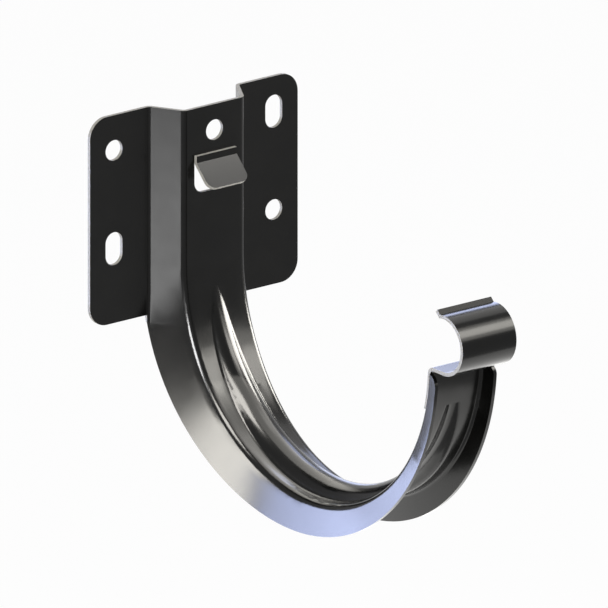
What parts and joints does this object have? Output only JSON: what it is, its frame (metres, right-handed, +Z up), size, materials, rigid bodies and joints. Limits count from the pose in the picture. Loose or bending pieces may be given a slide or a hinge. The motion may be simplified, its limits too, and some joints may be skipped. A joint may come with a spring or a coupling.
{
  "type": "gutter bracket",
  "caption": "Pressed steel bracket that hangs a half-round gutter from a fascia: flat ears with screw holes and slots, a ribbed channel hook and a curl for the gutter's front bead.",
  "frame": {"origin": "on the wall plane, midway between the two round screw holes of the ears", "axes": "+Y into the wall, so the gutter hangs towards -Y; +Z up; +X along the wall, to the right as seen from the front"},
  "size_m": [0.085, 0.1562, 0.1266],
  "materials": {
    "coated_steel": "gloss"
  },
  "bodies": {
    "root": {"gutter_bracket": "coated_steel"}
  },
  "joints": []
}
